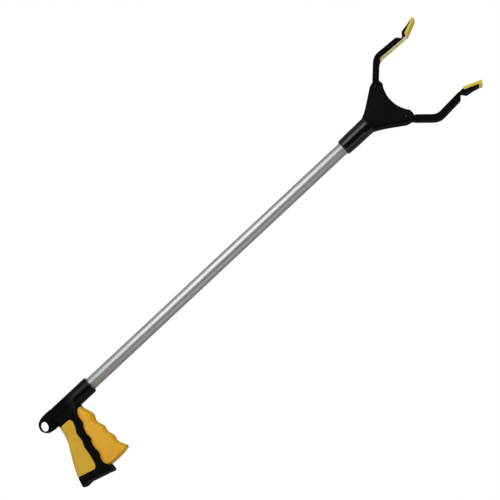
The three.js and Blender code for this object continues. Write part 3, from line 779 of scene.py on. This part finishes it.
TRIGGER_FRONT = [
    (-28.4, -20.8), (-23.5, -34.6), (-26.7, -46.2), (-22.3, -59.6), (-23.7, -67.6),
    (-20.1, -79.8), (-21.3, -88.6), (-16.9, -98.6), (-13.9, -103.4),
]
TRIGGER_REAR = [
    (-55.8, -98), (-53, -85), (-53, -72), (-49.2, -60), (-49, -50), (-46.4, -42),
    (-43, -35), (-42.6, -24),
]
TRIGGER_WALL = 2.2
NECK_R, NECK_IN, NECK_REAR = 3.4, 3.8, -42.4
DRAW_PIN = box_middle("draw_pin").xz
DRAW_SLOT_R, DRAW_SLOT_ENDS = 1.8, (-0.3, 0.8)  # the ends are from the pin's centre at rest


def roof_at(x):
    """The trigger's top: flat at rest, or lower where squeezing would lift it past that."""
    reach = PIVOT[1] - TRIGGER_TOP
    squeezed = ((x - PIVOT[0]) * math.sin(SQUEEZE) - reach) / math.cos(SQUEEZE) + PIVOT[1]
    return min(TRIGGER_TOP, squeezed)


def trigger_outline(inset):
    """The trigger's outline, or, with an inset, its hollow's, open towards the rear."""
    ridge = PIVOT[0] + NECK_R
    rearward = 30 if inset else 0
    pen = Pen(ridge, roof_at(ridge) - inset).line((TRIGGER_CREST - inset, TRIGGER_TOP - inset))
    pen.spline([(x - inset, z) for x, z in TRIGGER_FRONT])
    start, end = math.atan2(-111.4, 20.6 - inset), math.atan2(-112.2, -16.3)
    pen.arc(PIVOT, 113.4 - inset, start, end)
    pen.line(*[(x - rearward, z) for x, z in TRIGGER_REAR])
    return pen.line((NECK_REAR - rearward, roof_at(NECK_REAR) - inset)).points


def front_outline():
    """What lies behind the trigger's front, with its finger hollows."""
    pen = Pen(TRIGGER_CREST, CUT_TOP).line((TRIGGER_CREST, TRIGGER_TOP)).spline(TRIGGER_FRONT)
    return pen.line((-2, -140), (CUT_REAR, -140), (CUT_REAR, CUT_TOP)).points


def neck_field(room):
    """The two cheeks that rise into the barrel and turn on the trigger's pin."""
    neck = Pen(PIVOT[0] + NECK_R, PIVOT[1]).line((-31.6, TRIGGER_TOP + 0.2), (-30, -27))
    neck.line((-42.2, -27), (-41.8, TRIGGER_TOP), (PIVOT[0] - NECK_R, PIVOT[1]))
    sides = either(room.inside(neck.points), room.disc(PIVOT, NECK_R))
    middle, half = (NECK_OUT + NECK_IN) / 2, (NECK_OUT - NECK_IN) / 2
    return rounded(sides, np.abs(np.abs(room.y) - middle) - half, 0.3)


def build_trigger():
    room = Room((-59, -11, -113), (-10, 11, 11), 0.5)
    front = room.inside(front_outline())
    inner_half = TRIGGER_HALF - TRIGGER_WALL
    outer = both(
        room.slab(front, TRIGGER_HALF, CROWN_R),
        room.slab(room.inside(trigger_outline(0)), TRIGGER_HALF, 1.8),
        0.8,
    )
    inner = both(
        room.slab(front + TRIGGER_WALL, inner_half, 5.2),
        room.slab(room.inside(trigger_outline(TRIGGER_WALL)), inner_half, 0.5),
    )
    throat = room.block(-70, -31.4, -NECK_IN, NECK_IN, -27, 10)
    body = either(without(outer, inner, throat, k=0.4), neck_field(room), 0.5)
    outward = (DRAW_PIN - Vector(PIVOT)).normalized()
    ends = [DRAW_PIN + outward * end for end in DRAW_SLOT_ENDS]
    across = np.abs(room.y) - 8
    slot = both(room.capsule(*ends, DRAW_SLOT_R), across)
    body = without(body, slot, both(room.disc(PIVOT, PIN_BORE_R), across))
    finish_piece(mesh_object("squeeze_trigger", *skin(room, body)), AMBER, "trigger", "trigger")


build_trigger()

# ---- Head ----

HEAD_HALF, CAVITY_HALF = 10, 6.1
ARC_X, ARC_R = 649, 49.8  # the hollow curve across the fork's front
CORNER = (602, 40.7)
PIVOT_BORE_R = 2.15
HEAD_PANEL_DEEP, HEAD_RIM = 0.55, 3.0  # the shallow panel on each side, and the rim round it
NECK = [(502, 10.6), (503.2, 11.7), (504.5, 12.2), (522, 12.8), (550, 12.9), (558, 10.2)]


def head_outline():
    reach = 29
    turn = math.asin(reach / ARC_R)
    front = ARC_X - math.sqrt(ARC_R**2 - reach**2)
    pen = Pen(540, 10.5).line((549, 10.8)).bend((556, 13.2), (570, 22.8)).line((588, 35.8))
    pen.bend((593, 40.2), CORNER).bend((609.2, 39.6), (608.2, 32.4)).line((front, reach))
    pen.arc((ARC_X, 0), ARC_R, math.pi - turn, math.pi + turn)
    pen.line((608.2, -32.4)).bend((609.2, -39.6), (CORNER[0], -CORNER[1]))
    pen.bend((593, -40.2), (588, -35.8)).line((570, -22.8))
    return pen.bend((556, -13.2), (549, -10.8)).line((540, -10.5)).points


def arm_room(room, sign):
    """The wedge an arm sweeps, and its hub's circle."""
    opened, closed = math.radians(46.5), math.radians(45 - 33.6 - 1.5)
    outer, inner, reach, hub_r = 5.2, -4.1, 40, 6.6

    def corner(angle, across, along):
        x = JAW[0] + math.cos(angle) * along - math.sin(angle) * across
        z = JAW[1] + math.sin(angle) * along + math.cos(angle) * across
        return (x, sign * z)

    near, far = (opened, outer), (closed, inner)
    ends = [(*near, 0), (*far, 0), (*far, reach), (*near, reach)]
    wedge = room.inside([corner(*end) for end in ends])
    return either(wedge, room.disc((JAW[0], sign * JAW[1]), hub_r))


def head_room(room):
    """Where the crosshead slides, open at the fork's front."""
    r, reach = ARC_R + 2.8, 27
    turn = math.asin(reach / r)
    side = [(590, 34.6), (586, 31.4), (574, 22.8), (565, 6.5), (555, 6.5)]
    start = math.pi + turn
    pen = Pen(ARC_X + r * math.cos(start), r * math.sin(start))
    pen.arc((ARC_X, 0), r, start, math.pi - turn)
    pen.line(*side).line(*[(x, -z) for x, z in reversed(side)])
    return room.inside(pen.points)


def build_head():
    room = Room((500.5, -14.5, -43), (611, 14.5, 43), 0.55)
    profile = room.inside(head_outline())
    inset = ease((-profile - HEAD_RIM) / 0.9) * ease((room.x - 566) / 6)
    plate = rounded(profile, np.abs(room.y) - (HEAD_HALF - HEAD_PANEL_DEEP * inset), 2.8)
    neck_r = np.interp(room.x, *zip(*NECK)).astype(np.float32)
    neck_ends = np.maximum(NECK[0][0] - room.x, room.x - NECK[-1][0] - 1)
    neck = both(np.hypot(room.y, room.z) - neck_r, neck_ends, 0.6)
    body = either(plate, neck, 2.5)
    caves = either(head_room(room), either(arm_room(room, 1), arm_room(room, -1)))
    caves = without(both(caves, np.abs(room.y) - CAVITY_HALF), room.disc((592, 0), 3))
    bores = either(room.rod(490, TUBE_FRONT + 0.3, TUBE_R + 0.3), room.rod(540, 558, 4))
    for z in (JAW[1], -JAW[1]):
        bores = either(bores, room.disc((JAW[0], z), PIVOT_BORE_R))
    body = without(body, caves, bores, k=0.6)
    body = drill_for_screws(room, body, "head")
    build_halves(room, body, "head_", "head_shell_", HEAD_BLACK)


build_head()

# ---- Jaws ----

JAW_HALF, ARM_HALF, ARM_WIDENS = 5.8, 8, 12.6  # the arm widens that far from its pivot
ARM_OUT, ARM_IN = 4.9, 3.8
ELBOW_X, ELBOW_Z, ARM_SLOPE = 637, 60, -0.05
HUB_R, CRANK_R, CRANK_HALF, CAM_R = 6.2, 3.7, 2.1, 1.7
LINER_START, LINER_END, LINER_HALF, LINER_DEEP = 632, FLEX_X - 1, 6.6, 1.5
LINER_GAP = 0.3
CROSS_PIN = box_middle("crosshead_pin_upper").xz


def inner_face(x):
    """The height of the arm's inner face, past its elbow."""
    return ELBOW_Z + (x - ELBOW_X) * ARM_SLOPE


def arm_outline():
    """A straight at 45 degrees from the pivot, an elbow, and a straight along the tube."""
    inner, outer = ARM_IN * math.sqrt(2), ARM_OUT * math.sqrt(2)
    offset = JAW[0] - JAW[1]
    end = FLEX_X - 0.3
    pen = Pen(JAW[0] + inner / 2, JAW[1] - inner / 2).line((offset + inner + 55, 55))
    pen.bend((offset + inner + 60.2, 60.2), (ELBOW_X, inner_face(ELBOW_X)))
    pen.line((end, inner_face(FLEX_X)), (end, 60.5), (672, 65.6))
    pen.bend((671, 67.1), (668.5, 67.3)).line((636, 69.3))
    pen.bend((offset - outer + 69.5, 69.5), (offset - outer + 61.5, 61.5))
    return pen.line((JAW[0] - outer / 2, JAW[1] + outer / 2)).points


def cam_point(t):
    """Where the crosshead's pin sits in the arm, once the jaw has closed by a share t."""
    swing = SWING * t
    x = CROSS_PIN[0] - TRAVEL * t - JAW[0]
    z = CROSS_PIN[1] - JAW[1]
    return (
        JAW[0] + x * math.cos(swing) - z * math.sin(swing),
        JAW[1] + x * math.sin(swing) + z * math.cos(swing),
    )


def cam_track(room, r, start, end, steps):
    """The pin's path in the arm, with a radius."""
    at = [cam_point(start + (end - start) * i / steps) for i in range(steps + 1)]
    field = room.capsule(at[0], at[1], r)
    for a, b in zip(at[1:], at[2:]):
        field = either(field, room.capsule(a, b, r))
    return field


def arm_surface():
    """The arm with its hub, the crank with its cam slot, and the liner's seat."""
    room = Room((582, -9.2, 8), (678, 9.2, 72), 0.45)
    profile = room.inside(arm_outline())
    arm = both(room.slab(profile, ARM_HALF, 1.4), ARM_WIDENS - room.disc(JAW, 0), 1)
    arm = either(arm, room.slab(profile, JAW_HALF, 0.8))
    hub = room.slab(room.disc(JAW, HUB_R), JAW_HALF, 0.8)
    link = room.capsule(JAW, cam_point(0.35), CRANK_R)
    crank = either(link, cam_track(room, CRANK_R, 0, 1, 4))
    body = either(either(arm, hub, 1.5), room.slab(crank, CRANK_HALF, 0.4), 0.8)
    slot = cam_track(room, CAM_R, -0.06, 1.06, 6)
    seat_top = inner_face(room.x) + LINER_DEEP + LINER_GAP
    seat = both(
        np.maximum(LINER_START - LINER_GAP - room.x, room.x - 700),
        both(room.z - seat_top, np.abs(room.y) - LINER_HALF - LINER_GAP),
    )
    return skin(room, without(body, slot, room.disc(JAW, PIVOT_BORE_R), seat))


def liner_surface():
    """A bar with ribs across its face and a groove along it."""
    room = Room((630, -8.2, 55), (677.5, 8.2, 63), 0.3)
    rib_high, rib_pitch, proud, edge = 0.16, 2.0, 0.2, 0.5
    groove_half, groove_deep = 0.8, 1.1
    face = inner_face(room.x)
    ribs = rib_high * np.cos(room.x * 2 * math.pi / rib_pitch) * ease((face + 1 - room.z) / 0.8)
    depth = np.maximum(face - proud - room.z, room.z - face - LINER_DEEP)
    bar = rounded(depth, np.maximum(LINER_START - room.x, room.x - LINER_END), edge)
    bar = rounded(bar, np.abs(room.y) - LINER_HALF, edge) + ribs
    groove = both(np.abs(room.y) - groove_half, room.z - face - groove_deep)
    return skin(room, without(bar, groove, k=0.3))


ALONG = (math.cos(TIP_ANGLE), math.sin(TIP_ANGLE))
AWAY = (-math.sin(TIP_ANGLE), math.cos(TIP_ANGLE))
PAD_HALF, PAD_END, BACKING_HALF = 9.4, 27.1, 8.9
TONGUE_Z, TONGUE_TOP, STRAP_TOP = 58, 59, 60.5


def tip_point(u, n):
    """A point u along the tip's gripping face and n behind it."""
    return tuple(start + a * u + b * n for start, a, b in zip(TIP_START, ALONG, AWAY))


def tip_axes(room):
    dx, dz = room.x - TIP_START[0], room.z - TIP_START[1]
    return dx * ALONG[0] + dz * ALONG[1], dx * AWAY[0] + dz * AWAY[1]


def pad_surface():
    """The pad, and its tongue that lies under the flexing neck and meets the liner."""
    room = Room((674, -10.6, 56), (713, 10.6, 76), 0.34)
    rib_deep, rib_pitch, rib_share = 0.42, 2.1, 0.25
    first_rib, last_rib = 1.2, 25
    u, n = tip_axes(room)
    aside = np.abs(room.y)
    tongue_end = FLEX_X - 0.7
    pen = Pen(tongue_end, TONGUE_Z).line(tip_point(0, 0), tip_point(25.6, 0))
    pen.bend(tip_point(27.2, 0), tip_point(27.1, 1.5)).line(tip_point(26.8, 4.1))
    pen.bend(tip_point(26.7, 5.4), tip_point(25.2, 5.4))
    pen.line(tip_point(21.1, 5.6), tip_point(21.1, 4.4), tip_point(0, 4.4))
    pen.line((683, TONGUE_TOP), (tongue_end, TONGUE_TOP))
    half = PAD_HALF - (PAD_HALF - LINER_HALF) * ease((684.6 - room.x) / 2.5)
    body = rounded(room.inside(pen.points), aside - half, 0.45)
    body = both(body, rounded(u - PAD_END, aside - PAD_HALF, 1.8), 0.4)
    ribbed = ease((PAD_HALF - 1 - aside) / 0.8)
    ribbed = ribbed * ease((u - first_rib) / 0.6) * ease((last_rib - u) / 0.6)
    wave = np.clip(np.cos(u * 2 * math.pi / rib_pitch) + rib_share, 0, 1)
    return skin(room, body + rib_deep * wave * ease(1.4 - n) * ribbed)


def backing_surface():
    """The wedge behind the pad, and the strap that bends between it and the arm."""
    room = Room((671, -10.2, 56), (707, 10.2, 78), 0.36)
    under, start = TONGUE_TOP + 0.2, FLEX_X + 0.3
    pen = Pen(start, under).line((682.5, under), tip_point(-0.3, 4.7), tip_point(20.8, 4.7))
    pen.line(tip_point(20.8, 5.6), tip_point(12.4, 6.7), tip_point(3.6, 8.9))
    pen.bend(tip_point(0.1, 9.8), tip_point(-2.1, 7.5)).line((678, 61), (start, STRAP_TOP))
    body = room.slab(room.inside(pen.points), BACKING_HALF, 0.9)
    strap = room.block(673, 681, -7.4, 7.4, under, STRAP_TOP, 0.4)
    return skin(room, either(body, strap, 1.2))


def build_jaws():
    """The arms and liners ride on the jaws; the tips' pieces are left unattached, their placement baked into their
    meshes.
    """
    surfaces = {
        "jaw_arm": (arm_surface(), BLACK, True),
        "jaw_liner": (liner_surface(), LINER, True),
        "jaw_pad": (pad_surface(), PAD, False),
        "tip_backing": (backing_surface(), BLACK, False),
    }
    for node, (surface, material, rigid) in surfaces.items():
        for side, sign, made in (("upper", 1, surface), ("lower", -1, mirrored(*surface))):
            piece = mesh_object(f"{node}_moulded_{side}", *made)
            jaw = "jaw_" + side
            finish_piece(piece, material, jaw if rigid else None, f"{node}_{side}")
            if not rigid:
                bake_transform(piece)


def build_pivot_pins():
    """The jaws' pins, with domed ends."""
    for side in ("upper", "lower"):
        name = "jaw_pivot_pin_" + side
        low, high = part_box(name)
        half, r = (high.y - low.y) * MM / 2, (high.x - low.x) * MM / 2
        end = [(half, 0.02), (half - 0.08, r * 0.5), (half - 0.3, r * 0.86), (half - 0.7, r)]
        profile = [(-along, radius) for along, radius in end] + end[::-1]
        pin = turned("domed_pin_" + side, profile, "Y", box_middle(name), segments=40)
        finish_piece(pin, DARK_STEEL, "frame", name)


build_jaws()
build_pivot_pins()

# ---- Return spring ----


def build_spring():
    low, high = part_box("return_spring")
    radius, wire, turns = 4.6, 0.6, 7
    per_turn, sides = 36, 12
    dead, flat = 0.9 / turns, 0.06  # the closed coils at each end, in turns and in length
    x0, x1 = (low.x - DATUM.x) * MM + wire, (high.x - DATUM.x) * MM - wire
    steps = per_turn * turns
    points, faces = [], []
    for i in range(steps + 1):
        t = i / steps
        turn = 2 * math.pi * turns * t
        x = x0 + (x1 - x0) * np.interp(t, [0, dead, 1 - dead, 1], [0, flat, 1 - flat, 1])
        out = np.array([0, math.sin(turn), math.cos(turn)])
        for k in range(sides):
            a = 2 * math.pi * k / sides
            ring = wire * (out * math.cos(a) + np.array([1, 0, 0]) * math.sin(a))
            points.append(np.array([x, 0, 0]) + radius * out + ring)
    for i in range(steps):
        for k in range(sides):
            a, b = i * sides + k, i * sides + (k + 1) % sides
            faces.append((a, b, b + sides, a + sides))
    piece = mesh_object("wound_spring", points, faces)
    finish_piece(piece, STEEL, "frame", "return_spring")
    made = bmesh.new()
    made.from_mesh(piece.data)
    bmesh.ops.holes_fill(made, edges=[e for e in made.edges if e.is_boundary], sides=0)
    bmesh.ops.recalc_face_normals(made, faces=made.faces)
    made.to_mesh(piece.data)
    made.free()
    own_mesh(piece)


build_spring()

# ---- Inner CAD nodes keep their shape, with eased edges and their own finish ----


def smooth_by_angle():
    """A geometry node group that shades smooth, apart from edges over a limit."""
    limit = math.radians(35)
    tree = bpy.data.node_groups.new("smooth_by_angle", "GeometryNodeTree")
    tree.interface.new_socket("Geometry", in_out="INPUT", socket_type="NodeSocketGeometry")
    tree.interface.new_socket("Geometry", in_out="OUTPUT", socket_type="NodeSocketGeometry")
    start, end = tree.nodes.new("NodeGroupInput"), tree.nodes.new("NodeGroupOutput")
    faces = tree.nodes.new("GeometryNodeSetShadeSmooth")
    edges = tree.nodes.new("GeometryNodeSetShadeSmooth")
    edges.domain = "EDGE"
    edges.inputs["Shade Smooth"].default_value = False
    angle = tree.nodes.new("GeometryNodeInputMeshEdgeAngle")
    sharp = tree.nodes.new("FunctionNodeCompare")
    sharp.inputs[1].default_value = limit
    tree.links.new(angle.outputs[0], sharp.inputs[0])
    tree.links.new(sharp.outputs[0], edges.inputs["Selection"])
    tree.links.new(start.outputs[0], faces.inputs[0])
    tree.links.new(faces.outputs[0], edges.inputs[0])
    tree.links.new(edges.outputs[0], end.inputs[0])
    return tree


def finish_inner_nodes():
    """For the CAD nodes that no visual piece replaces."""
    smooth = smooth_by_angle()
    by_slot = {"steel": STEEL, "white_nylon": NYLON}
    for name, obj in frame["nodes"].items():
        if obj.hide_render:
            continue
        obj.data.materials.clear()
        obj.data.materials.append(by_slot[SLOT_OF[name]])
        bevel = obj.modifiers.new("edge", "BEVEL")
        bevel.width = 0.25 / MM
        bevel.segments = 2
        bevel.limit_method = "ANGLE"
        bevel.angle_limit = math.radians(40)
        obj.modifiers.new("shade", "NODES").node_group = smooth


finish_inner_nodes()

# ---- Stage, light and camera ----

MIDDLE = (CAD_BOX[0] + CAD_BOX[1]) / 2
VIEW_DROP = math.radians(16.5)  # the camera looks up from that far below the level
VIEW_ROLL = math.radians(43.04)
CAMERA_AWAY, PICTURE_WIDTH, SENSOR_WIDTH = 1.55, 0.726, 36
AIM = to_row(302.5, 4.4, -15.0)
VIEW = Vector((0, math.cos(VIEW_DROP), math.sin(VIEW_DROP)))
RISE = Vector((0, -math.sin(VIEW_DROP), math.cos(VIEW_DROP)))
TUBE_AXIS = Vector((1, 0, 0))


def place(obj, axes, at):
    """Links an object, turned to three axes."""
    bpy.context.collection.objects.link(obj)
    obj.matrix_world = Matrix.Translation(at) @ Matrix(axes).transposed().to_4x4()


def build_camera():
    right = TUBE_AXIS * math.cos(VIEW_ROLL) - RISE * math.sin(VIEW_ROLL)
    up = TUBE_AXIS * math.sin(VIEW_ROLL) + RISE * math.cos(VIEW_ROLL)
    data = bpy.data.cameras.new("camera")
    data.sensor_width = SENSOR_WIDTH
    data.lens = SENSOR_WIDTH * CAMERA_AWAY / PICTURE_WIDTH
    camera = bpy.data.objects.new("camera", data)
    place(camera, (right, up, -VIEW), AIM - VIEW * CAMERA_AWAY)
    bpy.context.scene.camera = camera


def lamp(name, direction, away, size, energy):
    """A rectangle of light aimed at the middle, its long side along the tube."""
    data = bpy.data.lights.new(name, "AREA")
    data.shape = "RECTANGLE"
    data.size, data.size_y = size
    data.energy = energy
    obj = bpy.data.objects.new(name, data)
    back = direction.normalized()
    height = back.cross(TUBE_AXIS).normalized()
    place(obj, (height.cross(back).normalized(), height, back), MIDDLE + back * away)
    return obj


def toward(angle):
    """A direction across the tube, that many degrees up from the camera's."""
    a = math.radians(angle)
    return -VIEW * math.cos(a) + RISE * math.sin(a)


build_camera()
lamp("key", toward(43), 2.4, (5.4, 1.5), 60)
lamp("low_strip", toward(-48), 2.0, (3.6, 0.7), 6)
lamp("top_back", Vector((0.1, 0.7, 0.75)), 2.0, (1.6, 1.2), 8).visible_glossy = False


def build_floor():
    """Pale paper just under the object, fading out for the camera and unseen from below."""
    half, drop = 6.0, 0.6 / MM
    fade_start, fade_end = 0.9, 2.6
    data = bpy.data.meshes.new("floor")
    made = bmesh.new()
    bmesh.ops.create_grid(made, x_segments=24, y_segments=24, size=half)
    made.to_mesh(data)
    made.free()
    obj = bpy.data.objects.new("floor", data)
    bpy.context.collection.objects.link(obj)
    obj.location = (MIDDLE.x, 0, CAD_BOX[0].z - drop)
    g = Graph("floor_paper")
    tone = g.blend(g.noise(3, 3), grey(0.84), grey(0.87))
    body = g.add("ShaderNodeBsdfDiffuse", {"Color": tone}).outputs[0]
    clear = g.add("ShaderNodeBsdfTransparent").outputs[0]
    radius = g.add("ShaderNodeVectorMath", {0: g.coords}, operation="LENGTH").outputs["Value"]
    fade = g.ramp(radius, fade_start, fade_end)
    below = g.add("ShaderNodeNewGeometry").outputs["Backfacing"]
    seen = g.add("ShaderNodeLightPath").outputs["Is Camera Ray"]
    gone = g.maths("MAXIMUM", below, g.maths("MULTIPLY", seen, fade))
    mix = g.add("ShaderNodeMixShader", {0: gone, 1: body, 2: clear}).outputs[0]
    g.tree.links.new(mix, g.out.inputs[0])
    obj.data.materials.append(g.material)
    obj.visible_glossy = False
    obj.visible_shadow = False


build_floor()


def build_world():
    """White behind the object; a soft grey room for its light, darkest around the camera."""
    world = bpy.data.worlds.new("studio")
    bpy.context.scene.world = world
    world.use_nodes = True
    tree = world.node_tree
    tree.nodes.clear()

    def add(kind, **settings):
        node = tree.nodes.new(kind)
        for key, value in settings.items():
            setattr(node, key, value)
        return node

    out = add("ShaderNodeOutputWorld")
    path = add("ShaderNodeLightPath")
    facing = add("ShaderNodeVectorMath", operation="DOT_PRODUCT")
    facing.inputs[1].default_value = -VIEW
    tree.links.new(add("ShaderNodeTexCoord").outputs["Generated"], facing.inputs[0])
    glow = add("ShaderNodeMapRange", interpolation_type="SMOOTHSTEP")
    for key, value in zip(("From Min", "From Max", "To Min", "To Max"), (0.5, 0.93, 0.3, 0.03)):
        glow.inputs[key].default_value = value
    tree.links.new(facing.outputs["Value"], glow.inputs["Value"])
    room, white = add("ShaderNodeBackground"), add("ShaderNodeBackground")
    tree.links.new(glow.outputs[0], room.inputs["Strength"])
    mix = add("ShaderNodeMixShader")
    tree.links.new(path.outputs["Is Camera Ray"], mix.inputs[0])
    tree.links.new(room.outputs[0], mix.inputs[1])
    tree.links.new(white.outputs[0], mix.inputs[2])
    tree.links.new(mix.outputs[0], out.inputs[0])
    room.inputs[0].default_value = (0.97, 0.98, 1.0, 1)
    white.inputs[0].default_value = (1, 1, 1, 1)


build_world()
bpy.context.scene.view_settings.view_transform = "Standard"
